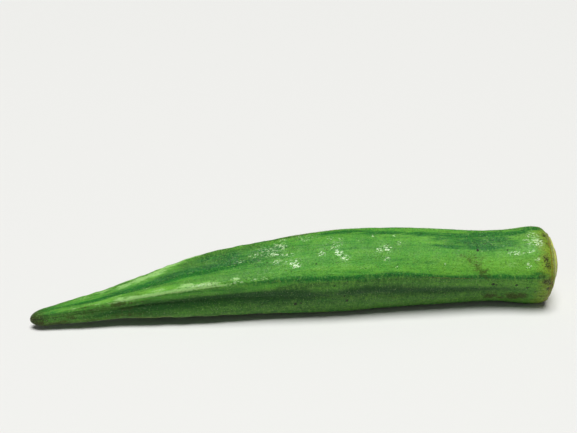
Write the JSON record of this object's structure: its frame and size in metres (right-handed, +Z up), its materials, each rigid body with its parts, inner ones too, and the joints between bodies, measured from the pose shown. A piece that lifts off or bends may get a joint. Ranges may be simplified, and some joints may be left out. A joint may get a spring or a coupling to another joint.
{
  "type": "okra pod",
  "caption": "Fresh okra pod lying on its side: a slender ridged green capsule with a tapering beak, a narrow neck, a brown scar ring and a short trimmed stalk end.",
  "frame": {"origin": "under the middle of the pod's bounding box, on the surface that it lies on", "axes": "+X along the pod from the beak to the stalk end, +Z up from the surface, +Y towards the pod's hidden side"},
  "size_m": [0.1366, 0.0236, 0.0205],
  "materials": {
    "okra_skin": "fresh green plant skin, satin under fine down, paler towards the stalk"
  },
  "bodies": {
    "root": {"okra_pod": "okra_skin"}
  },
  "joints": []
}
